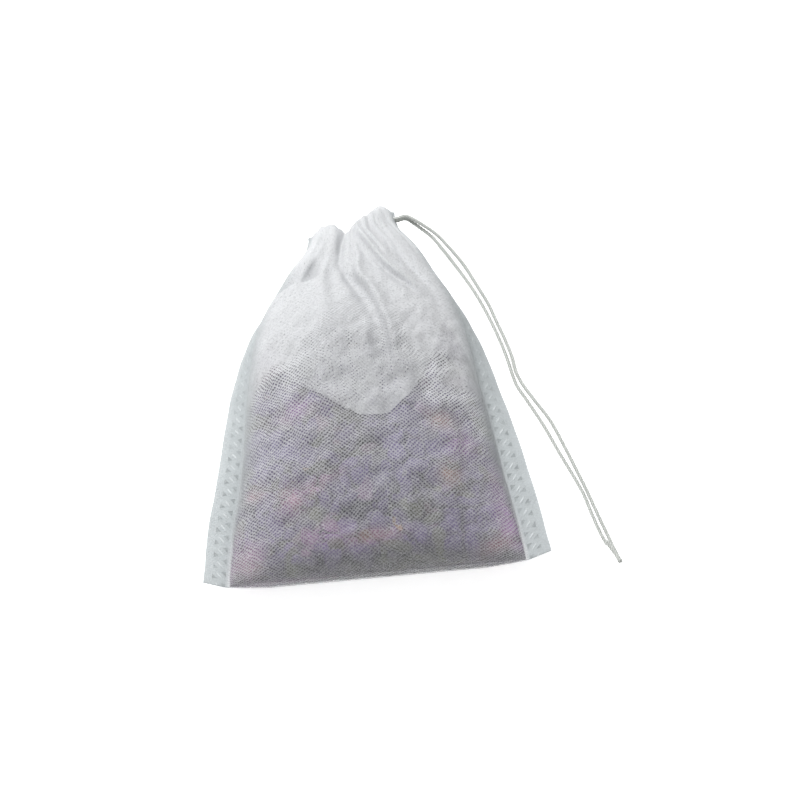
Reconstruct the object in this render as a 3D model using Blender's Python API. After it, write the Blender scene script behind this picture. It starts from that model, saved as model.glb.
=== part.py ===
"""Drawstring tea filter bag: a welded non-woven pouch, filled and drawn shut, lying on its back.

Metres, +Z up. The bottom fold of the bag is towards -Y and its gathered mouth towards +Y.
The origin is under the middle of the bag, on the surface that it lies on.
"""

import math

import bpy
import numpy as np

# Driving sizes of the pouch
BAG_WIDTH = 0.0800  # over both side seams, along the bottom fold
BAG_LENGTH = 0.0896  # as it lies, from the bottom fold to the level of the gathered mouth
WALL = 0.0004  # one layer of the cloth
SEAM_WIDTH = 0.0064  # welded strip along each side
SEAM_THICKNESS = 0.0005  # the two layers fused together
SEAM_HEIGHT = 0.0050  # of the side seams above the surface that the bag lies on
POUCH_RISE = 0.0160  # of the filled upper layer above the side seams
END_RADIUS = 0.0070  # length of the round end over the bottom fold
UNDERSIDE_RADIUS = 0.0035  # the same under the fold
CORNER_SETBACK = 0.0017  # of the two bottom corners behind the bottom fold
LUMP_HEIGHT = 0.00035  # of the swells that the filling gives the upper layer
LUMP_PITCH = 0.0085

# Driving sizes of the gathered mouth
NECK_WIDTH = 0.0205
NECK_DEPTH = 0.0090
MOUTH_OFFSET = 0.0017  # the gathered neck lies this far to the right of the middle
LOBE_HEIGHT = 0.0047  # fold of cloth that stands up at the right end of the mouth
FOLD_DEPTH = 0.0023  # of the folds that run down the upper layer from the mouth
PLEAT_DEPTH = 0.0005  # of the small pleats in the lower layer
PLEATS = 5

# Driving sizes of the hem, which is turned in over the drawstring
FLAP_LENGTH = 0.0556  # of the tongue that hangs inside the upper layer
BACK_FLAP_LENGTH = 0.0235
FLAP_THICKNESS = 0.00035
FLAP_GAP = 0.0004  # between the wall and the flap, below the drawstring
FLAP_SAG = 0.0009  # how much further from the wall the tongue hangs
FLAP_SAG_LENGTH = 0.0120
TUNNEL_DEPTH = 0.0070  # from the mouth to the line where the flap lies against the wall

# Driving sizes of the drawstring
CLEARANCE = 0.0003  # between pieces that touch in the real bag
STRING_DIAMETER = 0.00065
STRING_INSET = 0.0011  # from the edge of the mouth to the middle of the string
STRING_EASE = 0.12  # how far across the string looks ahead for the lowest edge of the mouth
STRAND_PITCH = 0.0011  # between the two strands where they leave the hem
SLOT_MARGIN = 0.0003  # of the hole in the hem around the two strands
END_DIAMETER = 0.0014  # of the two yarns twisted together

# Driving sizes of the filling
FILL_START = 0.0012  # from the bottom fold
FILL_LENGTH = 0.0640  # from the bottom fold to the far end of the tea
FILL_END_RADIUS = 0.0200
FILL_LUMPS = 0.0014
FILL_LUMP_PITCH = 0.0060

# Shape along the bag, as (share of its length, share of the size)
WIDTH_SHARES = (
    (0.0, 1.0), (0.16, 0.935), (0.285, 0.858), (0.40, 0.792), (0.515, 0.718), (0.63, 0.632),
    (0.75, 0.496), (0.855, 0.304), (0.92, 0.168), (0.97, 0.030), (1.0, 0.0),
)
CENTRE_SHARES = (
    (0.0, 0.0), (0.20, 0.06), (0.32, 0.23), (0.44, 0.23), (0.54, 0.18), (0.64, 0.29), (0.75, 0.47),
    (0.84, 0.88), (0.90, 1.0), (0.93, 0.94), (0.965, 0.65), (1.0, 0.71),
)
RISE_SHARES = (
    (0.0, 0.20), (0.07, 0.31), (0.16, 0.52), (0.285, 0.76), (0.40, 0.92), (0.515, 1.0),
    (0.63, 0.96), (0.75, 0.72), (0.855, 0.40), (0.92, 0.20), (1.0, 0.0),
)
# The seams turn down and are taken into the gathers as they near the mouth
SEAM_REACH = (
    (0.0, 1.0), (0.285, 1.0), (0.47, 0.86), (0.61, 0.66), (0.75, 0.34), (0.86, 0.13), (1.0, 0.07),
)
SEAM_DROP = (
    (0.0, -0.08), (0.285, 0.0), (0.47, 0.40), (0.61, 0.60), (0.75, 0.62), (0.86, 0.40), (1.0, 0.0),
)
# Edge of the mouth, as (place across, share of the lobe's height)
MOUTH_EDGE = (
    (-1.0, -0.08), (-0.8, 0.02), (-0.6, 0.13), (-0.5, 0.19), (-0.4, 0.12), (-0.3, -0.08),
    (-0.2, -0.29), (-0.1, -0.39), (0.0, -0.29), (0.1, -0.06), (0.2, 0.29), (0.3, 0.51),
    (0.45, 0.62), (0.6, 0.79), (0.8, 0.99), (1.0, 1.0),
)
# Free edge of the upper flap, as (place across, share of the tongue's length beyond the back flap's)
TONGUE_EDGE = (
    (-1.0, 0.0), (-0.85, 0.31), (-0.64, 0.60), (-0.4, 0.77), (-0.2, 0.91), (0.0, 1.0), (0.15, 1.0),
    (0.36, 0.88), (0.56, 0.64), (0.7, 0.41), (0.8, 0.19), (0.9, 0.05), (1.0, 0.0),
)
# Folds of the upper layer, each as stations of (share of the length, place across, half width
# across, height as a share of the depth)
FOLDS = (
    ((0.70, 0.10, 0.13, 0.0), (0.76, 0.04, 0.12, -0.3), (0.81, -0.08, 0.11, -0.5),
     (0.88, -0.23, 0.10, -0.9), (0.94, -0.25, 0.11, -1.0), (1.0, -0.13, 0.13, -1.0)),
    ((0.74, 0.66, 0.12, 0.0), (0.78, 0.57, 0.11, -0.4), (0.845, 0.36, 0.10, -0.6),
     (0.92, 0.20, 0.10, -0.8), (1.0, 0.08, 0.11, -0.8)),
    ((0.46, 0.33, 0.13, 0.0), (0.56, 0.28, 0.12, 0.4), (0.65, 0.24, 0.10, 0.6),
     (0.765, 0.12, 0.10, 0.6), (0.83, -0.01, 0.10, 0.4), (0.90, 0.0, 0.09, 0.3), (1.0, -0.05, 0.10, 0.2)),
    ((0.71, -1.0, 0.20, 0.0), (0.79, -0.76, 0.20, -0.7), (0.83, -0.62, 0.18, -1.0),
     (0.865, -0.55, 0.16, -0.9), (0.91, -0.54, 0.13, -0.4), (1.0, -0.60, 0.12, -0.2)),
    ((0.47, -0.37, 0.12, 0.0), (0.55, -0.36, 0.11, 0.3), (0.65, -0.345, 0.11, 0.5),
     (0.75, -0.37, 0.11, 0.6), (0.85, -0.42, 0.10, 0.6), (0.92, -0.43, 0.10, 0.4), (1.0, -0.44, 0.11, 0.1)),
    ((0.60, 0.88, 0.12, 0.0), (0.72, 0.80, 0.12, -0.4), (0.84, 0.66, 0.11, -0.6),
     (0.92, 0.52, 0.11, -0.5), (1.0, 0.44, 0.11, -0.3)),
)

# Shape across the bag, as powers and shares
DOME_POWER = 0.54
TRAY_POWER = 0.6
TRAY_SHARE = 1.22
RELIEF_EDGE = 1.6  # the relief runs out where the round section falls below one part in this

# Fineness of the surfaces
POINTS_ACROSS = 33  # of the upper layer; the lower one has every second of them
FILL_POINTS_ACROSS = 21
EDGE_GRADING = 0.9  # how much closer the points stand near the seams
END_ROWS = 5
WALL_ROWS = 22
TUNNEL_ROWS = 4
FLAP_ROWS = 9
FLAP_GRADING = 1.5
MOUTH_GRADING = 1.4
FILL_ROWS = 11
HELD_POINTS = 42
STRAND_POINTS = 50
SEAM_CREASE = 0.00008  # half the opening left where the two layers meet inside
SEAM_EDGE = 0.6  # share of that, and of the seam's thickness, left at the very edge

# Routes of the two free strands, from the hole that they leave by: right, along and height
STRAND_1_ROUTE = (
    (0.0000, 0.0000, 0.00555), (0.0025, 0.0004, 0.00560), (0.0044, -0.0006, 0.00520),
    (0.0064, -0.0019, 0.00450), (0.0088, -0.0037, 0.00360), (0.0118, -0.0073, 0.00250),
    (0.0145, -0.0112, 0.00160), (0.0170, -0.0164, 0.00100), (0.0196, -0.0224, 0.00065),
    (0.0210, -0.0269, 0.00045), (0.0227, -0.0323, 0.00038), (0.0238, -0.0369, 0.00035),
    (0.0244, -0.0408, 0.00035), (0.0253, -0.0434, 0.00035), (0.0277, -0.0481, 0.00035),
    (0.0309, -0.0539, 0.00035), (0.0339, -0.0619, 0.00035), (0.0361, -0.0683, 0.00035),
    (0.0378, -0.0734, 0.00035), (0.0395, -0.0790, 0.00035), (0.0412, -0.0845, 0.00035),
    (0.0424, -0.0882, 0.00035),
)
STRAND_2_ROUTE = (
    (0.0000, 0.0000, 0.00445), (0.0024, 0.0003, 0.00450), (0.0041, -0.0008, 0.00405),
    (0.0059, -0.0022, 0.00335), (0.0078, -0.0038, 0.00265), (0.0106, -0.0077, 0.00165),
    (0.0132, -0.0120, 0.00095), (0.0158, -0.0168, 0.00055), (0.0181, -0.0221, 0.00042),
    (0.0200, -0.0275, 0.00036), (0.0217, -0.0332, 0.00035), (0.0228, -0.0378, 0.00035),
    (0.0234, -0.0411, 0.00035), (0.0241, -0.0439, 0.00035), (0.0262, -0.0484, 0.00035),
    (0.0292, -0.0548, 0.00035), (0.0325, -0.0631, 0.00035), (0.0347, -0.0684, 0.00035),
    (0.0370, -0.0743, 0.00035), (0.0385, -0.0799, 0.00035), (0.0404, -0.0861, 0.00035),
    (0.0413, -0.0884, 0.00035),
)
TWISTED_END_ROUTE = (
    (0.0422, -0.0890, 0.00072), (0.0429, -0.0905, 0.00064), (0.0435, -0.0920, 0.00060),
    (0.0441, -0.0934, 0.00062),
)
TWISTED_END_RADII = (1.0, 0.85, 0.75, 0.85)  # shares of half the end's diameter


def clear_scene():
    for obj in list(bpy.data.objects):
        bpy.data.objects.remove(obj, do_unlink=True)


def make_collection(name):
    collection = bpy.data.collections.new(name)
    bpy.context.scene.collection.children.link(collection)
    return collection


def make_material(name, colour, roughness, alpha=1.0):
    material = bpy.data.materials.new(name)
    material.use_nodes = True
    shader = material.node_tree.nodes["Principled BSDF"]
    shader.inputs["Base Color"].default_value = (*colour, 1.0)
    shader.inputs["Roughness"].default_value = roughness
    shader.inputs["Metallic"].default_value = 0.0
    shader.inputs["Alpha"].default_value = alpha
    return material


def smooth_curve(stations, places):
    """Values at these places on the smooth curve through the stations, in cubic Hermite spans."""
    table = np.array(stations, float)
    knots, values = table[:, 0], table[:, 1:]
    slopes = np.gradient(values, knots, axis=0)
    places = np.clip(np.asarray(places, float), knots[0], knots[-1])
    span = np.clip(np.searchsorted(knots, places, side="right") - 1, 0, len(knots) - 2)
    width = (knots[span + 1] - knots[span])[..., None]
    u = (places - knots[span])[..., None] / width
    found = (
        (1 + 2 * u) * (1 - u) ** 2 * values[span]
        + u * (1 - u) ** 2 * width * slopes[span]
        + u**2 * (3 - 2 * u) * values[span + 1]
        + u**2 * (u - 1) * width * slopes[span + 1]
    )
    return found[..., 0] if values.shape[1] == 1 else found


def smooth_step(value, low, high):
    u = np.clip((value - low) / (high - low), 0.0, 1.0)
    return u * u * (3 - 2 * u)


def round_end(length, radius):
    """Quarter of an ellipse along the bag: 0 at its end, 1 from one radius on."""
    return np.sqrt(1 - (1 - np.clip(length / radius, 0.0, 1.0)) ** 2)


def half_width(along):
    """Half the width of the pouch between the inner edges of its two seams."""
    neck = NECK_WIDTH / 2
    outer = neck + (BAG_WIDTH / 2 - neck) * smooth_curve(WIDTH_SHARES, along)
    return outer - SEAM_WIDTH * smooth_curve(SEAM_REACH, along)


def upper_rise(along):
    """Height of the middle of the upper layer over the seams."""
    neck = NECK_DEPTH / 2
    return neck + (POUCH_RISE - neck) * smooth_curve(RISE_SHARES, along)


def lower_drop(along):
    """Depth of the middle of the lower layer under the seams: to the table, but for the neck."""
    flat = SEAM_HEIGHT - SEAM_THICKNESS / 2
    return flat + (NECK_DEPTH / 2 - flat) * smooth_step(along, 0.80, 0.97)


def dome(across):
    """Share of the rise across the upper layer: a full round section, steep at the seams."""
    return (1 - across**2) ** DOME_POWER


def tray(across):
    """Share of the drop across the lower layer: flat in the middle, where the bag lies."""
    return np.minimum(1.0, TRAY_SHARE * (1 - across**4) ** TRAY_POWER)


def waves(x, y, pitch, seed, count=9):
    """Smooth uneven swells, about -1 to 1: sine waves of about one pitch in seeded directions."""
    rng = np.random.default_rng(seed)
    turn, phase = rng.uniform(0, 2 * math.pi, (2, count))
    pace = 2 * math.pi / (pitch * rng.uniform(0.75, 1.35, count))
    total = 0.0
    for a, p, k in zip(turn, phase, pace):
        total = total + np.sin(k * (x * math.cos(a) + y * math.sin(a)) + p)
    return total / math.sqrt(count)


def upper_relief(across, along):
    """Height of the folds and of the filling's swells on the upper layer.

    Each fold is a ridge or valley across its own path, whose place, width and height run
    smoothly from station to station. The swells fade out at the bottom fold and in the neck.
    """
    folds = np.zeros_like(across)
    for stations in FOLDS:
        place, wide, height = np.moveaxis(smooth_curve(stations, along), -1, 0)
        started = along > stations[0][0]
        folds += np.where(started, height, 0.0) * np.exp(-(((across - place) / wide) ** 2))
    length = along * BAG_LENGTH
    lumps = waves(across * 0.45 * BAG_WIDTH, length, LUMP_PITCH, 3)
    lumps = lumps * smooth_step(length, 0.001, 0.008) * (1 - smooth_step(along, 0.62, 0.95))
    return FOLD_DEPTH * folds + LUMP_HEIGHT * lumps


def pleat_height(across, along):
    """How far the even pleats lift the lower layer where it is gathered."""
    wave = 0.5 - 0.5 * np.cos(math.pi * PLEATS * (across + 1))
    return PLEAT_DEPTH * wave * smooth_step(along, 0.80, 0.97)


def mouth_height(across):
    """How far the edge of the mouth stands out past the bag's length."""
    return LOBE_HEIGHT * smooth_curve(MOUTH_EDGE, across)


def flap_length(across, layer):
    """Length of the turned-in flap, which hangs down in a tongue on the upper layer."""
    tongue = (FLAP_LENGTH - BACK_FLAP_LENGTH) * smooth_curve(TONGUE_EDGE, across)
    return BACK_FLAP_LENGTH + np.where(layer > 0, tongue, 0.0)


def ring_places(points=POINTS_ACROSS):
    """Place across, layer and place along the seam of each point of a ring across the bag.

    The ring runs over the upper layer (1) from left (-1) to right (1), round the right seam, back
    under the lower layer (-1), which has every second point, and round the left seam.
    """
    turn = np.linspace(-1, 1, points) * EDGE_GRADING * math.pi / 2
    upper = np.sin(turn) / np.sin(turn[-1])
    lower = upper[::-2]
    across = np.concatenate([upper, [1, 1], lower, [-1, -1]])
    layer = np.concatenate([np.ones(points), [1, -1], -np.ones(len(lower)), [-1, 1]])
    seam = np.concatenate([0 * upper, [1, 1], 0 * lower, [-1, -1]])
    return across, layer, seam


def overall_length():
    """From the bottom fold to the tip of the lobe, which stands out furthest."""
    return BAG_LENGTH + LOBE_HEIGHT


def section(
    length, inset, crease=SEAM_CREASE, folds=1.0, start=None, reach=0.0001, drop=0.0, swell=1.0,
    points=POINTS_ACROSS,
):
    """One closed ring across the bag, at this length from the bottom fold, or one for each point.

    inset moves it inwards from the outer face, crease is half the gap between the layers at the
    seams, and reach and drop carry the ring's ends along a seam.
    """
    across, layer, seam = ring_places(points)
    length = length + 0 * across
    along = np.clip(length / BAG_LENGTH, 0.0, 1.0)
    start = inset if start is None else start
    offset = SEAM_THICKNESS / 2 - crease - inset
    rise = (upper_rise(along) + offset) * round_end(length - start, END_RADIUS) * swell
    sink = (lower_drop(along) + offset) * round_end(length - start, UNDERSIDE_RADIUS) * swell
    wide = (half_width(along) - inset) * swell**0.5
    to_seam = np.minimum(1.0, RELIEF_EDGE * dome(across))
    relief = folds * to_seam * upper_relief(across * wide / half_width(along), along)
    upper = SEAM_HEIGHT + crease + rise * dome(across) + relief
    lower = SEAM_HEIGHT - crease - sink * tray(across) + folds * pleat_height(across, along)
    tip = SEAM_HEIGHT + layer * crease * SEAM_EDGE - drop
    z = np.where(seam != 0, tip, np.where(layer > 0, upper, lower))
    x = across * wide + seam * reach + MOUTH_OFFSET * smooth_curve(CENTRE_SHARES, along)
    near_mouth = smooth_step(along, 0.86, 1.0)
    near_fold = 1 - smooth_step(length, 0.0, END_RADIUS)
    y = length - overall_length() / 2 + near_mouth * mouth_height(across)
    y = y + CORNER_SETBACK * near_fold * np.abs(seam) * reach / SEAM_WIDTH
    return np.stack([x, y, z], axis=1)


def lengths(start, end, rows):
    """Row places from the bottom fold on, closer together over the round end and at the mouth."""
    turn = np.linspace(0, math.pi / 2, END_ROWS + 1)
    to_end = np.linspace(1, 0, rows)[1:] ** MOUTH_GRADING
    over_end = start + END_RADIUS * (1 - np.cos(turn))
    return np.concatenate([over_end, end - (end - start - END_RADIUS) * to_end])


def loft(name, rings, points=POINTS_ACROSS):
    """Closed body through the rings in turn, with its first and last ring filled across."""
    count = len(rings[0])
    here = np.arange(count)
    after = (here + 1) % count
    rows = count * np.arange(len(rings) - 1)[:, None]
    around = np.stack([rows + here, rows + after, rows + count + after, rows + count + here], axis=2)
    upper = np.concatenate([[count - 1], np.arange(points + 1)])
    lower = np.arange(count - 2, points, -1)
    first = [[upper[0], lower[0], lower[1], upper[1]], [upper[-2], lower[-2], lower[-1], upper[-1]]]
    for i in range(1, len(lower) - 2):
        first.append([upper[2 * i - 1], lower[i], lower[i + 1], upper[2 * i + 1], upper[2 * i]])
    end = count * (len(rings) - 1)
    last = [[place + end for place in reversed(face)] for face in first]
    mesh = bpy.data.meshes.new(name)
    mesh.from_pydata(np.concatenate(rings).tolist(), [], around.reshape(-1, 4).tolist() + first + last)
    mesh.shade_smooth()
    mesh.set_sharp_from_angle(angle=math.radians(50))
    return bpy.data.objects.new(name, mesh)


def tube(name, points, radius, radii=None):
    """Round string along the points, with closed ends."""
    curve = bpy.data.curves.new(name, "CURVE")
    curve.dimensions = "3D"
    curve.bevel_depth = radius
    curve.bevel_resolution = 2
    curve.use_fill_caps = True
    spline = curve.splines.new("POLY")
    spline.points.add(len(points) - 1)
    spline.points.foreach_set("co", np.column_stack([points, np.ones(len(points))]).ravel())
    if radii is not None:
        spline.points.foreach_set("radius", radii)
    return bpy.data.objects.new(name, curve)


def along_route(route, count, origin):
    """Evenly spaced points on the smooth curve through the route's points, right of the hole."""
    points = np.array(route) + origin
    steps = np.linalg.norm(np.diff(points, axis=0), axis=1)
    places = np.concatenate([[0.0], np.cumsum(steps)])
    stations = np.column_stack([places, points])
    return smooth_curve(stations, np.linspace(0.0, places[-1], count))


def add(obj, collection, material):
    obj.data.materials.append(material)
    collection.objects.link(obj)
    return obj


def flap_place(length):
    """Share of the tunnel's full depth at this length: 1 round the string, 0 below the tunnel."""
    weld = BAG_LENGTH - TUNNEL_DEPTH
    return smooth_step(length, weld, weld + TUNNEL_DEPTH / 2)


def flap_section(length, thickness):
    """Ring of the turned-in flap: thickness is 0 on the side of the wall."""
    open_share = flap_place(length)
    tunnel = STRING_DIAMETER + 2 * CLEARANCE + FOLD_DEPTH
    weld = BAG_LENGTH - TUNNEL_DEPTH
    sag = FLAP_SAG * smooth_step(weld - length, 0.0, FLAP_SAG_LENGTH)
    inset = WALL + FLAP_GAP + (tunnel - FLAP_GAP) * open_share + sag + thickness
    return section(length, inset, folds=1 - open_share)


def flap_lengths(top):
    """Row places down the flap from its top to its free edge, one for each point of a ring."""
    across, layer, _ = ring_places()
    weld = BAG_LENGTH - TUNNEL_DEPTH
    down = np.linspace(0, 1, FLAP_ROWS)[1:, None] ** FLAP_GRADING
    below = weld - down * (flap_length(across, layer) - TUNNEL_DEPTH)
    return [*np.linspace(top, weld, TUNNEL_ROWS), *below]


def make_bag():
    """The pouch, its welded seams and its turned-in hem, one piece of cloth."""
    outside = []
    for length in lengths(0.0, BAG_LENGTH, WALL_ROWS):
        along = length / BAG_LENGTH
        reach = SEAM_WIDTH * smooth_curve(SEAM_REACH, along)
        drop = SEAM_WIDTH * smooth_curve(SEAM_DROP, along)
        outside.append(section(length, 0.0, SEAM_THICKNESS / 2, reach=reach, drop=drop))
    roof = BAG_LENGTH - WALL
    flap_inside = [flap_section(length, FLAP_THICKNESS) for length in flap_lengths(BAG_LENGTH)]
    flap_outside = [flap_section(length, 0.0) for length in flap_lengths(roof)[::-1]]
    inside = [section(length, WALL) for length in lengths(WALL, roof, WALL_ROWS)[::-1]]
    return loft("filter_bag", outside + flap_inside + flap_outside + inside)


def make_filling():
    """The heap of dried flowers and leaves, lumpy, lying against the cloth and under the flap."""
    rings = []
    inset = WALL + CLEARANCE
    across, layer, _ = ring_places(FILL_POINTS_ACROSS)
    flap_end = BAG_LENGTH - flap_length(across, layer)
    for length in lengths(FILL_START, FILL_LENGTH, FILL_ROWS):
        to_end = np.clip((FILL_LENGTH - length) / FILL_END_RADIUS, 0.0, 1.0)
        swell = max(np.sqrt(1 - (1 - to_end) ** 2), 0.08)
        ring = section(length, inset, start=FILL_START, swell=swell, points=FILL_POINTS_ACROSS)
        x, y, z = ring.T
        lumps = 0.65 + 0.35 * np.clip(waves(x, y, FILL_LUMP_PITCH, 11), -1, 1)
        covered = smooth_step(length, flap_end - FLAP_SAG_LENGTH, flap_end)
        depth = FILL_LUMPS * lumps + (FLAP_GAP + FLAP_SAG + FLAP_THICKNESS + CLEARANCE) * covered
        ring[:, 2] = z - depth * np.clip((z - SEAM_HEIGHT) / (POUCH_RISE / 6), 0.0, 1.0)
        rings.append(ring)
    return loft("tea_filling", rings, FILL_POINTS_ACROSS)


def string_level():
    """Where the drawstring runs: its length from the bottom fold and its inset from the face."""
    return BAG_LENGTH - STRING_INSET, WALL + FOLD_DEPTH + CLEARANCE + STRING_DIAMETER / 2


def string_mouth(across):
    """Lowest that the edge of the mouth comes near this place, which the string keeps to."""
    near = np.linspace(-STRING_EASE, STRING_EASE, 7)[:, None]
    return mouth_height(np.clip(across + near, -1, 1)).min(axis=0)


def hole_place():
    """Middle of the hole in the right end of the hem, on the outside of the cloth."""
    length, _ = string_level()
    end = section(length, 0.0)[POINTS_ACROSS - 1]
    return np.array([end[0], end[1], SEAM_HEIGHT])


def make_held_string():
    """The stretch of drawstring inside the hem: once round the mouth and out again."""
    length, inset = string_level()
    across = ring_places()[0]
    dip = mouth_height(across) - string_mouth(across)
    ring = section(length - dip, inset, folds=0.0)
    hole = hole_place()
    upper = ring[2 : POINTS_ACROSS - 3]
    lower = ring[POINTS_ACROSS + 4 : -3]
    left = ring[-2:].mean(axis=0)
    half_pitch = np.array([0.0, 0.0, STRAND_PITCH / 2])
    inner = hole - [WALL + 2 * STRING_DIAMETER, 0.0, 0.0]
    start = [hole + half_pitch, inner + half_pitch]
    end = [inner - half_pitch, hole - half_pitch]
    way = np.concatenate([start, upper[::-2], [left], lower[::-2], end])
    return tube("drawstring", along_route(way, HELD_POINTS, 0.0), STRING_DIAMETER / 2)


def build():
    clear_scene()
    parts = make_collection("drawstring_tea_bag")
    cutters = make_collection("cutters")
    cloth = make_material("non-woven cloth", (0.86, 0.87, 0.88), 0.75, 0.7)
    tea = make_material("dried flowers", (0.42, 0.33, 0.40), 0.9)
    yarn = make_material("cotton yarn", (0.72, 0.75, 0.70), 0.8)

    bag = add(make_bag(), parts, cloth)
    add(make_filling(), parts, tea)
    add(make_held_string(), parts, yarn)

    hole = hole_place()
    bpy.ops.mesh.primitive_cube_add(size=1.0, location=hole)
    cutter = bpy.context.object
    cutter.name = "string_hole"
    slot = STRING_DIAMETER + 2 * SLOT_MARGIN
    cutter.scale = (2 * (WALL + CLEARANCE), slot, slot + STRAND_PITCH)
    cutter.hide_render = True
    cutter.display_type = "WIRE"
    for owner in cutter.users_collection:
        owner.objects.unlink(cutter)
    cutters.objects.link(cutter)
    cut = bag.modifiers.new("string hole", "BOOLEAN")
    cut.operation = "DIFFERENCE"
    cut.object = cutter

    origin = np.array([hole[0] + CLEARANCE, hole[1], 0.0])
    for name, route in (
        ("drawstring_strand_1", STRAND_1_ROUTE),
        ("drawstring_strand_2", STRAND_2_ROUTE),
    ):
        add(tube(name, along_route(route, STRAND_POINTS, origin), STRING_DIAMETER / 2), parts, yarn)
    end = along_route(TWISTED_END_ROUTE, len(TWISTED_END_RADII), origin)
    add(tube("drawstring_twisted_end", end, END_DIAMETER / 2, TWISTED_END_RADII), parts, yarn)


build()
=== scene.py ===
"""Drawstring tea filter bag: non-woven cloth, welded seams, gathered mouth, flower tea and twisted string.

Metres, +Z up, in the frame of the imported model: bottom fold towards -Y, mouth towards +Y, lying on z = 0.
"""

import math

import bpy
import numpy as np
from mathutils import Matrix, Vector


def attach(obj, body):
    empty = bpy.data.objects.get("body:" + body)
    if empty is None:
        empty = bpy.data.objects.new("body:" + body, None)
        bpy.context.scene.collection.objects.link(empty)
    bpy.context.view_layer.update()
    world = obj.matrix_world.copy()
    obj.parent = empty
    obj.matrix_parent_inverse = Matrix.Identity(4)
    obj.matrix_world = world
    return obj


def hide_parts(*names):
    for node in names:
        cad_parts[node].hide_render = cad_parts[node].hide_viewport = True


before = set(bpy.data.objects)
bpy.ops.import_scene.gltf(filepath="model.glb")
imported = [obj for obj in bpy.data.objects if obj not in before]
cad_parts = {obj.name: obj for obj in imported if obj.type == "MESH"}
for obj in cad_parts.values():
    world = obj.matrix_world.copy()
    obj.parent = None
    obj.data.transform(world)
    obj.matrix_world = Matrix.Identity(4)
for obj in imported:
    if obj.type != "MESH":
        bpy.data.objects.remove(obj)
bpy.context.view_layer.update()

# Sizes of the pouch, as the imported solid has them
BAG_WIDTH = 0.0800
BAG_LENGTH = 0.0896
MIDDLE = 0.04715  # from the bottom fold to the origin
SEAM_WIDTH = 0.0058  # 0.6 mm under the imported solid's, so that the tea reaches nearer to the edge
SEAM_THICKNESS = 0.0005
SEAM_HEIGHT = 0.0050
POUCH_RISE = 0.0160
END_RADIUS = 0.0070
UNDERSIDE_RADIUS = 0.0035
CORNER_SETBACK = 0.0017
NECK_WIDTH = 0.0205
NECK_DEPTH = 0.0090
HEM_ROOM = 0.0039  # from the face of the cloth to the inner wall of the hem round the string
TUNNEL_DEPTH = 0.0070
BACK_FLAP = 0.0235
FILL_LENGTH = 0.0730
FILL_END = 0.0300
STRING = 0.00065
STRING_INSET = 0.0011
STRING_EASE = 0.12
FLAP_ROWS = 74  # rows of the cloth's strip that make its front flap
FIN_COLUMNS = 20  # columns on each welded seam
WEAVE_ACROSS = 0.00107
WEAVE_DOWN = 0.00088
MARK_PITCH = 0.00323  # of the pressed triangles along a seam
SLANT = 1.167  # rise of the triangles' long side and of the ribs
SLANT_LENGTH = 1.54  # and their length, for each unit across

WIDTH_SHARES = (
    (0.0, 1.0), (0.16, 0.935), (0.285, 0.858), (0.40, 0.792), (0.515, 0.718), (0.63, 0.632),
    (0.75, 0.496), (0.855, 0.304), (0.92, 0.168), (0.97, 0.030), (1.0, 0.0),
)
RISE_SHARES = (
    (0.0, 0.20), (0.07, 0.31), (0.16, 0.52), (0.285, 0.76), (0.40, 0.92), (0.515, 1.0),
    (0.63, 0.96), (0.75, 0.72), (0.855, 0.40), (0.92, 0.20), (1.0, 0.0),
)
SEAM_REACH = (
    (0.0, 1.0), (0.285, 1.0), (0.47, 0.86), (0.61, 0.66), (0.75, 0.34), (0.86, 0.13), (1.0, 0.07),
)
SEAM_DROP = (
    (0.0, -0.08), (0.285, 0.0), (0.47, 0.40), (0.61, 0.60), (0.75, 0.62), (0.86, 0.40), (1.0, 0.05),
)
# Middle of the bag, to the right of the origin, along its length
CENTRE_LINE = (
    (0.0, 0.0), (0.20, 0.0001), (0.32, 0.0004), (0.44, 0.0004), (0.54, 0.0003), (0.64, 0.0005), (0.75, 0.0008),
    (0.84, 0.0015), (0.90, 0.0017), (0.93, 0.0016), (0.965, 0.0011), (1.0, 0.0012),
)
# Edge of the mouth: place across, and how far it stands out past the bag's length, in mm
MOUTH_EDGE = (
    (-1.0, -0.2), (-0.9, 0.3), (-0.8, 0.7), (-0.7, 0.9), (-0.6, 1.1), (-0.5, 1.0), (-0.4, 0.6), (-0.3, 0.0),
    (-0.2, -0.6), (-0.1, -0.7), (0.0, -0.5), (0.1, 0.3), (0.2, 1.2), (0.3, 2.0), (0.4, 2.7), (0.5, 3.3),
    (0.6, 4.1), (0.7, 4.8), (0.8, 5.2), (0.9, 5.2), (1.0, 4.8),
)
# Free edge of the front flap: place across, and length from the bottom fold, in mm
FLAP_EDGE = (
    (-1.0, 66.1), (-0.85, 56.0), (-0.64, 47.0), (-0.4, 41.5), (-0.2, 37.0), (0.0, 34.0), (0.15, 34.0),
    (0.36, 38.0), (0.56, 45.5), (0.7, 53.0), (0.8, 60.0), (0.9, 64.5), (1.0, 66.1),
)
# How far from the bottom fold the tea presses against the front: place across, and length in mm
CONTACT_EDGE = (
    (-1.0, 40.0), (-0.8, 44.0), (-0.6, 47.0), (-0.4, 52.0), (-0.2, 58.0), (0.0, 60.0), (0.3, 55.0), (0.5, 45.0),
    (0.65, 40.5), (0.8, 37.0), (1.0, 34.0),
)
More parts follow.
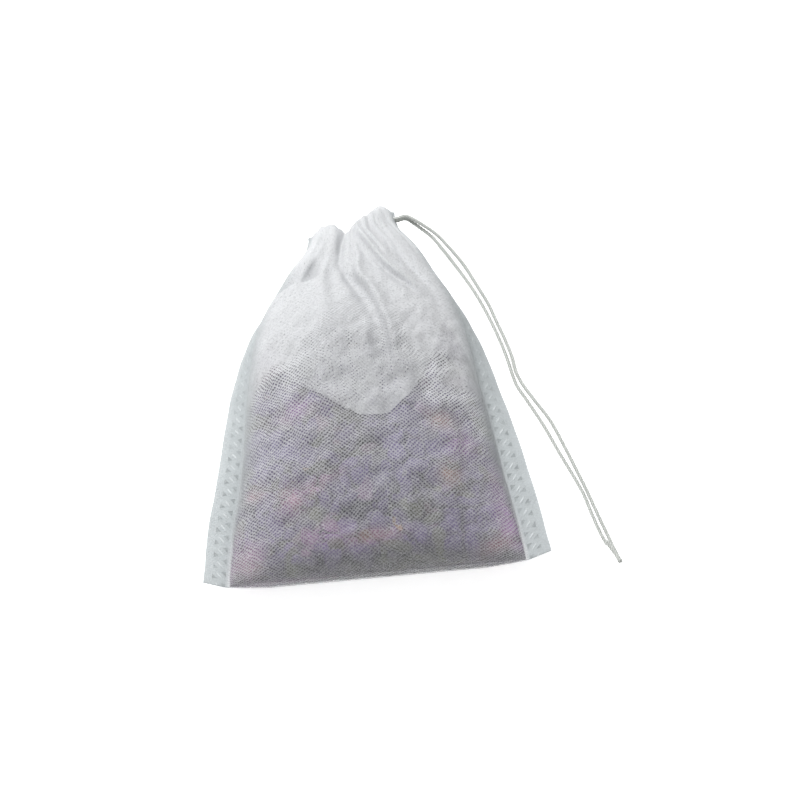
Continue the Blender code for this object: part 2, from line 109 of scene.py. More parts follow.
# Folds of the front: stations of (share of the length, place across, half width across, height in mm),
# and how far the fold is a step that rises (or, below 0, falls) to the right and not a round ridge
FOLDS = (
    (((0.70, 0.10, 0.10, 0.0), (0.76, 0.04, 0.09, -0.9), (0.81, -0.06, 0.08, -1.5), (0.88, -0.20, 0.075, -1.9),
      (0.94, -0.22, 0.08, -2.4), (1.0, -0.13, 0.12, -2.4)), -0.3),
    (((0.74, 0.66, 0.11, 0.0), (0.78, 0.57, 0.08, 1.3), (0.845, 0.36, 0.075, 1.9), (0.92, 0.20, 0.075, 2.0),
      (1.0, 0.08, 0.09, 1.3)), 0.8),
    (((0.44, 0.35, 0.12, 0.0), (0.52, 0.30, 0.09, 1.1), (0.57, 0.28, 0.08, 1.8), (0.65, 0.24, 0.075, 2.2),
      (0.765, 0.12, 0.07, 2.2), (0.83, -0.02, 0.065, 1.8), (0.90, 0.0, 0.06, 1.1), (1.0, -0.05, 0.07, 0.4)), 0.7),
    (((0.76, -0.98, 0.14, 0.0), (0.80, -0.86, 0.13, 0.4), (0.84, -0.74, 0.12, 0.6), (0.87, -0.66, 0.11, 0.6),
      (0.91, -0.56, 0.09, 0.5), (1.0, -0.58, 0.09, 0.3)), -0.3),
    (((0.47, -0.38, 0.09, 0.0), (0.53, -0.36, 0.08, 0.6), (0.65, -0.345, 0.08, 1.0), (0.75, -0.37, 0.08, 1.1),
      (0.84, -0.43, 0.07, 0.9), (0.90, -0.43, 0.08, 0.3), (1.0, -0.44, 0.10, 0.0)), 0.6),
    (((0.60, 0.88, 0.09, 0.0), (0.72, 0.80, 0.09, -1.0), (0.84, 0.66, 0.08, -1.4), (0.92, 0.52, 0.08, -1.1),
      (1.0, 0.44, 0.09, -0.7)), 0.1),
    (((0.80, 0.30, 0.07, 0.0), (0.86, 0.22, 0.055, 0.9), (0.93, 0.10, 0.06, 1.1), (1.0, 0.0, 0.07, 0.8)), 0.3),
    (((0.66, -0.10, 0.08, 0.0), (0.78, -0.24, 0.07, -0.6), (0.88, -0.34, 0.055, -0.3), (1.0, -0.36, 0.07, 0.3)), 0.0),
    (((0.84, 0.95, 0.09, 0.0), (0.90, 0.86, 0.08, -0.9), (0.95, 0.80, 0.08, -0.9), (1.0, 0.74, 0.08, -0.4)), 0.3),
    (((0.78, -0.70, 0.07, 0.0), (0.86, -0.72, 0.06, 0.8), (0.93, -0.72, 0.07, 0.9), (1.0, -0.74, 0.08, 0.5)), 0.2),
    (((0.86, 0.42, 0.06, 0.0), (0.91, 0.38, 0.05, 0.6), (0.96, 0.30, 0.05, 0.7), (1.0, 0.26, 0.06, 0.5)), 0.6),
    (((0.50, 0.22, 0.08, 0.0), (0.57, 0.19, 0.08, -0.6), (0.65, 0.15, 0.08, -0.8), (0.765, 0.03, 0.08, -0.8),
      (0.83, -0.10, 0.08, -0.6), (0.90, -0.08, 0.08, -0.3), (1.0, -0.10, 0.08, 0.0)), 0.0),
    (((0.86, 0.62, 0.06, 0.0), (0.91, 0.58, 0.05, 0.5), (0.96, 0.54, 0.05, 0.6), (1.0, 0.52, 0.06, 0.4)), -0.6),
)

# Where the two strands leave the hem, and their routes from there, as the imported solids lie
EXIT = (0.011528, 0.045948, 0.0)
HOLE = (0.0006, 0.0012)  # half its length along the bag and half its height
STRAND_1_ROUTE = (
    (0.0000, 0.0000, 0.00555), (0.0025, 0.0004, 0.00560), (0.0044, -0.0006, 0.00520),
    (0.0064, -0.0019, 0.00450), (0.0088, -0.0037, 0.00360), (0.0118, -0.0073, 0.00250),
    (0.0145, -0.0112, 0.00160), (0.0170, -0.0164, 0.00100), (0.0196, -0.0224, 0.00065),
    (0.0210, -0.0269, 0.00045), (0.0227, -0.0323, 0.00038), (0.0238, -0.0369, 0.00035),
    (0.0244, -0.0408, 0.00035), (0.0253, -0.0434, 0.00035), (0.0277, -0.0481, 0.00035),
    (0.0309, -0.0539, 0.00035), (0.0339, -0.0619, 0.00035), (0.0361, -0.0683, 0.00035),
    (0.0378, -0.0734, 0.00035), (0.0395, -0.0790, 0.00035), (0.0412, -0.0845, 0.00035),
    (0.0424, -0.0882, 0.00035),
)
STRAND_2_ROUTE = (
    (0.0000, 0.0000, 0.00445), (0.0024, 0.0003, 0.00450), (0.0041, -0.0008, 0.00405),
    (0.0059, -0.0022, 0.00335), (0.0078, -0.0038, 0.00265), (0.0106, -0.0077, 0.00165),
    (0.0132, -0.0120, 0.00095), (0.0158, -0.0168, 0.00055), (0.0181, -0.0221, 0.00042),
    (0.0200, -0.0275, 0.00036), (0.0217, -0.0332, 0.00035), (0.0228, -0.0378, 0.00035),
    (0.0234, -0.0411, 0.00035), (0.0241, -0.0439, 0.00035), (0.0262, -0.0484, 0.00035),
    (0.0292, -0.0548, 0.00035), (0.0325, -0.0631, 0.00035), (0.0347, -0.0684, 0.00035),
    (0.0370, -0.0743, 0.00035), (0.0385, -0.0799, 0.00035), (0.0404, -0.0861, 0.00035),
    (0.0413, -0.0884, 0.00035),
)
TWISTED_END_ROUTE = (
    (0.0415, -0.0875, 0.00072), (0.0422, -0.0890, 0.00072), (0.0429, -0.0905, 0.00064), (0.0435, -0.0920, 0.00060),
    (0.0441, -0.0934, 0.00062),
)

# Colours of the dried flowers and leaves that gather in patches, and the patches: kind, right of the
# middle and from the bottom fold in mm, half length and half width in mm, turn in degrees and strength
PATCH_COLOURS = {
    "rose": (0.33, 0.13, 0.25), "mallow": (0.28, 0.12, 0.30), "marigold": (0.33, 0.19, 0.10),
    "brick": (0.30, 0.11, 0.10), "leaf_and_fold_shade": (0.095, 0.10, 0.075), "lavender": (0.19, 0.16, 0.30),
}
PATCHES = (
    ("rose", -29.5, 4.5, 3.6, 3.0, 40, 1.0), ("mallow", -32.5, 9.5, 2.2, 3.6, 0, 0.6),
    ("mallow", 31.5, 8.0, 2.6, 4.4, 10, 1.2), ("mallow", 29.5, 18.0, 2.0, 5.0, 0, 0.7),
    ("brick", 28.0, 3.0, 3.4, 1.4, 20, 0.8), ("brick", -32.0, 27.5, 2.4, 2.2, 0, 0.7),
    ("mallow", -15.0, 38.0, 4.4, 2.2, 10, 0.8), ("rose", -18.0, 16.5, 2.8, 3.2, 0, 0.8),
    ("rose", -12.0, 19.5, 4.6, 1.3, 20, 0.8), ("brick", -26.0, 20.5, 2.4, 1.8, 0, 0.5),
    ("leaf_and_fold_shade", -14.0, 12.5, 3.4, 2.4, 0, 0.8), ("leaf_and_fold_shade", -9.0, 30.5, 3.6, 2.8, 20, 0.6),
    ("leaf_and_fold_shade", 11.0, 12.5, 4.8, 3.4, 20, 0.8), ("leaf_and_fold_shade", -1.0, 31.0, 2.4, 6.0, 0, 0.55),
    ("marigold", 17.5, 32.5, 2.8, 2.2, 0, 0.7), ("marigold", 18.5, 19.5, 2.2, 2.6, 0, 0.8),
    ("mallow", 22.0, 27.0, 2.8, 2.6, 0, 0.7), ("mallow", -12.0, 7.5, 5.0, 1.8, 5, 0.6),
    ("brick", 0.0, 6.0, 5.5, 1.4, 5, 0.5), ("lavender", 8.0, 38.0, 7.0, 4.0, 15, 0.7),
    ("lavender", -9.0, 40.5, 3.6, 2.0, 0, 0.6), ("lavender", 12.0, 28.0, 6.0, 5.0, 30, 0.6),
    ("lavender", -22.0, 30.0, 5.0, 5.0, 0, 0.5), ("lavender", 3.0, 19.0, 5.0, 4.0, 0, 0.5),
    # painted shade: the two dark leaf patches 1 mm from the bottom fold, one 44 mm long, darken the tea along the fold
    ("leaf_and_fold_shade", -19.0, 1.0, 2.2, 1.0, 0, 1.0), ("leaf_and_fold_shade", 8.0, 1.0, 22.0, 1.3, 0, 1.0),
)

# Petals and leaves: piece and finish, dark, light and vein colours, count, half length and half width,
# power of the outline, curl and seed
PETALS = (
    ("rose_petals", "dried rose petals", (0.085, 0.048, 0.085), (0.21, 0.13, 0.215), (0.08, 0.045, 0.07),
     90, 0.0032, 0.0024, 0.45, 0.0005, 31),
    ("violet_petals", "dried violet petals", (0.037, 0.025, 0.068), (0.15, 0.11, 0.228), (0.05, 0.04, 0.06),
     800, 0.0030, 0.0022, 0.5, 0.0005, 32),
    ("mint_leaves", "dried mint leaves", (0.034, 0.033, 0.034), (0.115, 0.108, 0.10), (0.03, 0.03, 0.025),
     230, 0.0034, 0.0019, 0.6, 0.0004, 33),
    ("marigold_petals", "dried marigold petals", (0.13, 0.08, 0.06), (0.26, 0.17, 0.12), (0.12, 0.06, 0.04),
     12, 0.0024, 0.0009, 0.4, 0.0003, 34),
)


# Arithmetic that every shape uses


def smooth_curve(stations, places):
    """Values on the smooth curve through the stations: cubic Hermite spans whose slopes are central differences."""
    table = np.array(stations, float)
    knots, values = table[:, 0], table[:, 1:]
    slopes = np.gradient(values, knots, axis=0)
    places = np.clip(np.asarray(places, float), knots[0], knots[-1])
    span = np.clip(np.searchsorted(knots, places, side="right") - 1, 0, len(knots) - 2)
    width = (knots[span + 1] - knots[span])[..., None]
    u = (places - knots[span])[..., None] / width
    found = (
        (1 + 2 * u) * (1 - u) ** 2 * values[span]
        + u * (1 - u) ** 2 * width * slopes[span]
        + u**2 * (3 - 2 * u) * values[span + 1]
        + u**2 * (u - 1) * width * slopes[span + 1]
    )
    return found[..., 0] if values.shape[1] == 1 else found


def smooth_step(value, low, high):
    """0 below low, 1 above high, and 3u^2 - 2u^3 between."""
    u = np.clip((value - low) / (high - low), 0.0, 1.0)
    return u * u * (3 - 2 * u)


def round_end(length, radius):
    """Quarter of an ellipse along the bag: 0 at its end, 1 from one radius on."""
    return np.sqrt(1 - (1 - np.clip(length / radius, 0.0, 1.0)) ** 2)


def waves(x, y, period, count, seed):
    """Smooth random field, about -1 to 1: the mean of sine waves of one period in seeded directions and phases."""
    rng = np.random.default_rng(seed)
    turn, phase = rng.uniform(0, 2 * math.pi, (2, count))
    pace = 2 * math.pi / (period * rng.uniform(0.75, 1.35, count))
    total = np.zeros(np.broadcast(x, y).shape)
    for a, p, k in zip(turn, phase, pace):
        total += np.sin(k * (x * math.cos(a) + y * math.sin(a)) + p)
    return total / math.sqrt(count)


# Shape of the pouch


def half_width(along):
    """Half the width between the inner edges of the two seams: the outline less the seam's own reach."""
    neck = NECK_WIDTH / 2
    outer = neck + (BAG_WIDTH / 2 - neck) * smooth_curve(WIDTH_SHARES, along)
    return outer - SEAM_WIDTH * smooth_curve(SEAM_REACH, along)


def front_relief(across, along):
    """Height of the folds that run down the front from the mouth, in metres.

    Across its own smooth path, at a distance x counted in half widths, a fold is partly a round
    ridge exp(-x^2) and partly a step tanh(3.5x) exp(-(x/1.5)^2), and its height runs smoothly to 0 at its end.
    Left of the neck the cloth tucks in: it falls steeply past a crease and comes slowly back on a smooth step.
    """
    total = np.zeros_like(across)
    for stations, step in FOLDS:
        place, wide, height = np.moveaxis(smooth_curve(stations, along), -1, 0)
        x = (across - place) / wide
        shape = (1 - abs(step)) * np.exp(-(x**2)) + step * np.tanh(3.5 * x) * np.exp(-((x / 1.5) ** 2))
        total += np.where(along > stations[0][0], height, 0.0) * shape
    past = (along - 0.826 - 0.02 * (across + 0.78)) / 0.085
    tuck = smooth_step(past, 0.0, 0.12) * (1 - smooth_step(past, 0.12, 1.0))
    total -= 3.4 * tuck * smooth_step(across, -1.05, -0.85) * (1 - smooth_step(across, -0.58, -0.44))
    return total / 1000


def back_relief(across, along):
    """Even pleats that lift the back where it is gathered, a half cosine each."""
    wave = 0.5 - 0.5 * np.cos(math.pi * 5 * (across + 1) + 2.0 * np.sin(3 * across))
    return 0.0008 * wave * smooth_step(along, 0.72, 0.97)


def cloth_point(across, fin, length, layer, inset=0.0, mouth=0.0, slack=1.0, swell=1.0, start=0.0):
    """Point of the front (layer 1) or back (layer -1) of the pouch, at a place across and along it.

    Across the front the height is the rise times (1 - a^2)^0.54, a round section, and across the
    back the drop times a flat tray; both end in a quarter ellipse at the bottom fold. fin, from
    -1 to 1, goes on from there along the welded seam. inset moves the point inwards, mouth is
    how far it stands out past the bag's length, and slack is the share of the folds it follows.
    """
    along = np.clip(length / BAG_LENGTH, 0.0, 1.0)
    neck = NECK_DEPTH / 2
    crease = SEAM_THICKNESS / 2
    near_fold = 1 - smooth_step(length, 0.0, END_RADIUS)
    rise = neck + (POUCH_RISE - neck) * smooth_curve(RISE_SHARES, along) - inset
    rise = rise * round_end(length - start, END_RADIUS)
    flat = SEAM_HEIGHT - crease
    sink = flat + (neck - flat) * smooth_step(along, 0.80, 0.97) - inset
    sink = sink * round_end(length - start, UNDERSIDE_RADIUS)
    body = np.abs(fin) < 1e-9
    dome = np.clip(1 - across**2, 0.0, 1.0) ** 0.54
    tray = np.minimum(1.0, 1.22 * np.clip(1 - across**4, 0.0, 1.0) ** 0.6)
    sideways = across * 0.036
    bumps = 0.00035 * waves(sideways, length, 0.0085, 9, 3) + 0.00016 * waves(sideways, length, 0.0036, 9, 4)
    bumps = bumps * smooth_step(length, 0.001, 0.008) * (1 - 0.6 * smooth_step(along, 0.62, 0.8))
    puckers = 0.00022 * np.sin(2 * math.pi * length / 0.0046 + 2.2 * np.sin(130 * length))
    puckers = puckers * smooth_step(np.abs(across), 0.80, 0.97)
    pressed = across * (half_width(along) - inset) / half_width(along) * swell**0.5
    over = front_relief(pressed, along) + bumps + puckers * (1 - np.abs(across) ** 8)
    over = slack * over * np.minimum(1.0, 1.6 * dome)
    under = slack * back_relief(across, along) * np.minimum(1.0, 1.6 * dome)
    drop = SEAM_WIDTH * smooth_curve(SEAM_DROP, along) * np.abs(fin)
    thin = crease * (1 - 0.4 * np.abs(fin))
    top = SEAM_HEIGHT + thin + swell * rise * dome + over - drop
    bottom = SEAM_HEIGHT - thin - swell * sink * tray + under - drop
    reach = SEAM_WIDTH * smooth_curve(SEAM_REACH, along)
    wide = half_width(along) - inset
    x = across * wide * swell**0.5 + fin * reach + smooth_curve(CENTRE_LINE, along)
    ripple = 0.00025 * np.sin(2 * math.pi * length / 0.0093 + 1.7 * np.sin(90 * length)) * np.abs(fin) ** 1.5
    y = length - MIDDLE + mouth + CORNER_SETBACK * near_fold * np.abs(fin)
    z = np.where(layer > 0, top, bottom) + ripple * smooth_step(length, 0.004, 0.02) * ~body
    return np.stack([x, y, z], axis=-1)


def mouth_edge(across):
    """How far the edge of the mouth stands out at a place across, on the smooth curve through its stations."""
    return smooth_curve(MOUTH_EDGE, across) / 1000


# Meshes, maps and finishes


def grid_faces(rows, columns, wrap=False):
    """Four-sided faces of a grid of points stored row by row, closed round its columns if wrap is set."""
    across = np.arange(columns if wrap else columns - 1)
    after = (across + 1) % columns
    down = np.arange(rows - 1)[:, None] * columns
    return np.stack([down + across, down + after, down + columns + after, down + columns + across], -1).reshape(-1, 4)


def make_piece(name, points, faces, finish, flip=False, maps=None, tints=None, cloth_layers_and_painted_light=None, stains=None):
    """Mesh object from points and faces, with its maps and point values, riding on the bag's one body."""
    if flip:
        faces = faces[:, ::-1]
    mesh = bpy.data.meshes.new(name)
    mesh.from_pydata(points.reshape(-1, 3).tolist(), [], faces if isinstance(faces, list) else faces.tolist())
    mesh.shade_smooth()
    corners = np.empty(len(mesh.loops), np.int32)
    mesh.loops.foreach_get("vertex_index", corners)
    for map_name, flat in (maps or {}).items():
        layer = mesh.uv_layers.new(name=map_name)
        layer.uv.foreach_set("vector", flat.reshape(-1, 2)[corners].astype(np.float32).ravel())
    for colour_name, colours in (("tint", tints), ("stain", stains)):
        if colours is not None:
            layer = mesh.color_attributes.new(colour_name, "FLOAT_COLOR", "POINT")
            layer.data.foreach_set("color", colours.astype(np.float32).ravel())
    if cloth_layers_and_painted_light is not None:
        gathered = mesh.attributes.new("gather", "FLOAT", "POINT")
        gathered.data.foreach_set("value", cloth_layers_and_painted_light.astype(np.float32).ravel())
    mesh.materials.append(finish)
    piece = bpy.data.objects.new(name, mesh)
    bpy.context.scene.collection.objects.link(piece)
    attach(piece, "root")
    return piece


class Finish:
    """A material and a short way to write its nodes."""

    def __init__(self, name):
        self.material = bpy.data.materials.new(name)
        self.material.use_nodes = True
        self.tree = self.material.node_tree
        self.shader = self.tree.nodes["Principled BSDF"]
        self.output = self.tree.nodes["Material Output"]

    def node(self, kind, inputs=None, **settings):
        made = self.tree.nodes.new(kind)
        for key, value in settings.items():
            setattr(made, key, value)
        for key, value in (inputs or {}).items():
            self.put(made.inputs[key], value)
        return made

    def put(self, socket, value):
        if isinstance(value, bpy.types.NodeSocket):
            self.tree.links.new(value, socket)
        elif isinstance(value, bpy.types.Node):
            self.tree.links.new(value.outputs[0], socket)
        else:
            socket.default_value = value

    def maths(self, operation, first, second=0.0, third=0.0, clamp=False):
        return self.node("ShaderNodeMath", {0: first, 1: second, 2: third}, operation=operation, use_clamp=clamp)

    def spread(self, value, low, high, to_low=0.0, to_high=1.0):
        """value taken from low..high to to_low..to_high on a smooth step."""
        return self.node(
            "ShaderNodeMapRange",
            {"Value": value, "From Min": low, "From Max": high, "To Min": to_low, "To Max": to_high},
            interpolation_type="SMOOTHSTEP",
        )

    def between(self, share, first, second):
        """Colour that runs from first to second with the share."""
        made = self.node("ShaderNodeMix", data_type="RGBA")
        self.put(made.inputs["Factor"], share)
        self.put(made.inputs[6], first)
        self.put(made.inputs[7], second)
        return made.outputs[2]

    def noise(self, place, scale, detail=3.0, roughness=0.5, stretch=(1, 1, 1)):
        """Noise at this many cells a metre, stretched along the axes."""
        placed = self.node("ShaderNodeMapping", {"Vector": place, "Scale": stretch})
        settings = {"Vector": placed, "Scale": scale, "Detail": detail, "Roughness": roughness}
        return self.node("ShaderNodeTexNoise", settings).outputs["Fac"]


def place_camera():
    """Long-lens camera at 60 degrees, looking along the bag and rolled so that the bottom fold rises to the right."""
    tilt, roll = math.radians(60), math.radians(5.3)
    out = np.array([0.0, math.sin(tilt), math.cos(tilt)])
    right = math.cos(roll) * np.array([1.0, 0, 0]) - math.sin(roll) * out
    up = math.sin(roll) * np.array([1.0, 0, 0]) + math.cos(roll) * out
    back = np.cross(right, up)
    lens = bpy.data.cameras.new("camera")
    lens.lens = 800
    lens.sensor_width = 36
    lens.clip_start = 0.05
    lens.clip_end = 20
    camera = bpy.data.objects.new("camera", lens)
    place = np.array([0.0087, -0.0037, 0.0080]) + back * (0.1837 * lens.lens / lens.sensor_width)
    camera.matrix_world = Matrix(np.vstack([np.column_stack([right, up, back, place]), [0, 0, 0, 1]]).tolist())
    bpy.context.scene.collection.objects.link(camera)
    bpy.context.scene.camera = camera


def cloth_finish():
    """Thin white non-woven: an embossed lattice of thin spots that shows what lies behind, fibres, and fused seams.

    The lattice is the weighted mean of cos(a + b) and cos(a - b), with a = 2 pi u / 1.07 mm and
    b = 2 pi v / 0.88 mm on the cloth's own flat measure, so that its spots lean one way here and there. In
    the seams pairs of right-angled triangles are pressed in, 3.23 mm apart, that face each other
    across a raised slanting rib.
    """
    f = Finish("non-woven cloth")
    flat = f.node("ShaderNodeUVMap", uv_map="weave")
    seam = f.node("ShaderNodeUVMap", uv_map="seam")
    u, v = f.node("ShaderNodeSeparateXYZ", {0: flat}).outputs[:2]
    q, p = f.node("ShaderNodeSeparateXYZ", {0: seam}).outputs[:2]
    moved = f.node("ShaderNodeVectorMath", {0: flat, 1: (0.5, 0.3, 0.0)})
    stray_across = f.maths("SUBTRACT", f.noise(flat, 420, 2.0), 0.5)
    stray_down = f.maths("SUBTRACT", f.noise(moved, 420, 2.0), 0.5)
    u = f.maths("ADD", u, f.maths("MULTIPLY", stray_across, 0.0011))
    v = f.maths("ADD", v, f.maths("MULTIPLY", stray_down, 0.0008))
    down = f.maths("MULTIPLY", v, 2 * math.pi / WEAVE_DOWN)
    along = f.maths("MULTIPLY", u, 2 * math.pi / WEAVE_ACROSS)
    rising = f.maths("COSINE", f.maths("ADD", along, down))
    falling = f.maths("COSINE", f.maths("SUBTRACT", along, down))
    lean = f.spread(f.noise(flat, 230, 1.0), 0.38, 0.62, 0.45, 0.60)
    lattice = f.node("ShaderNodeMix", {0: lean, 2: falling, 3: rising}).outputs[0]
    # layer count of the cloth, with painted light on the left and painted shade towards the bottom fold added in
    # make_cloth
    gather = f.node("ShaderNodeAttribute", attribute_name="gather").outputs["Fac"]
    strength = f.spread(f.noise(flat, 650, 2.0), 0.3, 0.7, 0.6, 1.25)
    lattice = f.maths("MULTIPLY", f.spread(lattice, -0.05, 0.95), strength)
    lattice = f.maths("MULTIPLY", f.maths("SUBTRACT", lattice, 0.24), f.spread(gather, 4.0, 2.8, 0.12, 1.0))
    lengthwise = f.noise(flat, 2600, 4.0, 0.65, (1.0, 0.22, 1.0))
    fibres = f.maths("ADD", lengthwise, f.noise(flat, 2200, 4.0, 0.65, (0.25, 1.0, 1.0)))
    fibres = f.maths("SUBTRACT", f.maths("MULTIPLY", fibres, 0.5), 0.5)
    cloud = f.maths("SUBTRACT", f.noise(flat, 140, 3.0), 0.5)

    fused = f.spread(q, f.spread(p, 0.0, 0.030, -0.0006, -0.0045), 0.0010)
    marks = []
    for middle, shift, way in ((0.0014, 0.0, 1.0), (0.0033, 0.00074, -1.0)):
        x = f.maths("MULTIPLY", f.maths("SUBTRACT", q, middle), way)
        y = f.maths("MULTIPLY", f.maths("WRAP", f.maths("ADD", p, shift), MARK_PITCH / 2, -MARK_PITCH / 2), way)
        slant = f.maths("DIVIDE", f.maths("SUBTRACT", y, f.maths("MULTIPLY", x, SLANT)), SLANT_LENGTH)
        corner = f.maths("MINIMUM", f.maths("ADD", x, 0.0006), f.maths("SUBTRACT", 0.0007, y))
        marks.append(f.spread(f.maths("MINIMUM", corner, slant), -0.00008, 0.00014))
    uneven = f.spread(f.noise(seam, 330, 2.0), 0.3, 0.7, 0.5, 1.15)
    worn = f.maths("MULTIPLY", f.spread(p, 0.028, 0.058, 1.0, 0.35), uneven)
    pressed = f.maths("MULTIPLY", f.maths("ADD", *marks, clamp=True), worn)
    x = f.maths("SUBTRACT", q, 0.00235)
    y = f.maths("WRAP", f.maths("ADD", p, 0.00037), MARK_PITCH / 2, -MARK_PITCH / 2)
    aside = f.maths("ABSOLUTE", f.maths("DIVIDE", f.maths("SUBTRACT", y, f.maths("MULTIPLY", x, SLANT)), SLANT_LENGTH))
    ridge = f.maths("MULTIPLY", f.spread(aside, 0.00028, 0.00006), f.spread(f.maths("ABSOLUTE", x), 0.0008, 0.0003))
    ridge = f.maths("MULTIPLY", ridge, worn)

    flecks = f.maths("SUBTRACT", f.noise(flat, 1500, 2.0, 0.6), 0.5)
    loose = f.maths("ADD", f.maths("MULTIPLY", fibres, 1.1), f.maths("MULTIPLY", flecks, 0.55))
    opacity = f.maths("ADD", f.maths("MULTIPLY", lattice, -0.94), loose)
    opacity = f.maths("ADD", f.maths("ADD", opacity, f.maths("MULTIPLY", cloud, 0.25)), 0.375, clamp=True)
    in_seam = f.maths("ADD", 0.78, f.maths("MULTIPLY", ridge, 0.2))
    in_seam = f.maths("ADD", in_seam, f.maths("MULTIPLY", fibres, 0.8), clamp=True)
    clear_share = f.maths("POWER", f.maths("SUBTRACT", 1.0, f.maths("MINIMUM", opacity, 0.95)), gather)
    opacity = f.node("ShaderNodeMix", {0: fused, 2: f.maths("SUBTRACT", 1.0, clear_share), 3: in_seam}).outputs[0]
    opacity = f.maths("MAXIMUM", f.maths("MINIMUM", opacity, 0.97), 0.12)

    plain = f.between(f.maths("ADD", cloud, 0.5), (0.68, 0.69, 0.70, 1), (0.63, 0.64, 0.655, 1))
    joined = f.between(fused, plain, (0.475, 0.505, 0.515, 1))
    joined = f.between(pressed, joined, (0.29, 0.315, 0.32, 1))
    colour = f.between(f.maths("MULTIPLY", ridge, fused), joined, (0.68, 0.71, 0.72, 1))
    f.put(f.shader.inputs["Base Color"], colour)
    f.put(f.shader.inputs["Roughness"], f.spread(pressed, 0.0, 1.0, 0.85, 0.5))
    f.shader.inputs["Sheen Weight"].default_value = 0.03
    f.shader.inputs["Specular IOR Level"].default_value = 0.25

    height = f.maths("ADD", f.maths("MULTIPLY", lattice, -0.00006), f.maths("MULTIPLY", fibres, 0.00006))
    height = f.maths("ADD", height, f.maths("MULTIPLY", f.maths("SUBTRACT", ridge, pressed), 0.00012))
    bump = f.node("ShaderNodeBump", {"Height": height, "Strength": 1.0, "Distance": 1.0})
    f.put(f.shader.inputs["Normal"], bump)

    through = f.node("ShaderNodeBsdfTranslucent", {"Color": colour, "Normal": bump})
    fibre = f.node("ShaderNodeMixShader", {0: 0.32, 1: f.shader, 2: through})
    clear = f.node("ShaderNodeBsdfTransparent", {"Color": (1, 1, 1, 1)})
    f.put(f.output.inputs["Surface"], f.node("ShaderNodeMixShader", {0: opacity, 1: clear, 2: fibre}))
    return f.material


def yarn_finish():
    """Bleached cotton yarn, a little grey-green, with painted shade: darker where its bump sinks between the fibres.
    """
    f = Finish("cotton yarn")
    flat = f.node("ShaderNodeUVMap", uv_map="ply")
    strands = f.noise(flat, 1.0, 3.0, 0.6, (9.0, 700.0, 1.0))
    fuzz = f.noise(f.node("ShaderNodeTexCoord").outputs["Object"], 5000, 3.0)
    shade = f.maths("MULTIPLY", f.maths("ADD", strands, fuzz), 0.5)
    # painted shade: one noise both lowers the bump and darkens the colour, so the grooves between fibres are painted
    # dark
    colour = f.between(f.spread(shade, 0.3, 0.7), (0.22, 0.236, 0.22, 1), (0.66, 0.675, 0.65, 1))
    f.put(f.shader.inputs["Base Color"], colour)
    f.shader.inputs["Roughness"].default_value = 0.8
    f.shader.inputs["Sheen Weight"].default_value = 0.2
    height = f.maths("MULTIPLY", shade, 0.00008)
    f.put(f.shader.inputs["Normal"], f.node("ShaderNodeBump", {"Height": height, "Distance": 1.0}))
    return f.material


def dried_finish(name, dark, light, spots):
    """Dried plant matter: its tint runs from dark to light with the piece's own shade, veined and mottled."""
    f = Finish(name)
    place = f.node("ShaderNodeTexCoord").outputs["Object"]
    tint = f.node("ShaderNodeAttribute", attribute_name="tint")
    red, green, blue = f.node("ShaderNodeSeparateColor", {0: tint.outputs["Color"]}).outputs
    mottle = f.noise(place, 900, 4.0, 0.6)
    veins = f.noise(place, 420, 2.0)
    mottled = f.maths("MULTIPLY", f.maths("SUBTRACT", mottle, 0.5), 0.9)
    share = f.maths("ADD", f.maths("MULTIPLY", red, 0.75), mottled, clamp=True)
    base = f.between(share, (*dark, 1), (*light, 1))
    base = f.between(f.maths("MULTIPLY", f.spread(veins, 0.5, 0.75), f.maths("ADD", green, 0.2)), base, (*spots, 1))
    base = f.between(f.spread(blue, 0.0, 0.8), (0.060, 0.047, 0.078, 1), base)
    stain = f.node("ShaderNodeAttribute", attribute_name="stain")
    lit = f.node("ShaderNodeVectorMath", {0: stain.outputs["Color"]}, operation="SCALE")
    f.put(lit.inputs["Scale"], f.spread(share, 0.0, 1.0, 0.55, 1.5))
    base = f.between(f.maths("MULTIPLY", stain.outputs["Alpha"], 0.8), base, lit)
    f.put(f.shader.inputs["Base Color"], base)
    f.shader.inputs["Roughness"].default_value = 0.85
    height = f.maths("MULTIPLY", mottle, 0.0003)
    f.put(f.shader.inputs["Normal"], f.node("ShaderNodeBump", {"Height": height, "Distance": 1.0}))
    return f.material


# Drawstring


def along_route(route, origin, step):
    """Evenly spaced points on the smooth curve through the route's points."""
    points = np.array(route) + origin
    gaps = np.linalg.norm(np.diff(points, axis=0), axis=1)
    places = np.concatenate([[0.0], np.cumsum(gaps)])
    dense = smooth_curve(np.column_stack([places, points]), np.linspace(0, places[-1], 4000))
    run = np.concatenate([[0.0], np.cumsum(np.linalg.norm(np.diff(dense, axis=0), axis=1))])
    even = np.linspace(0, run[-1], max(4, int(run[-1] / step)))
    return np.stack([np.interp(even, run, dense[:, i]) for i in range(3)], axis=1), even


def side_frames(points):
    """Two unit directions square to the path at each point: one level, the other square to both."""
    ahead = np.gradient(points, axis=0)
    ahead /= np.linalg.norm(ahead, axis=1, keepdims=True)
    level = np.cross([0.0, 0.0, 1.0], ahead)
    level /= np.linalg.norm(level, axis=1, keepdims=True) + 1e-12
    return level, np.cross(ahead, level)


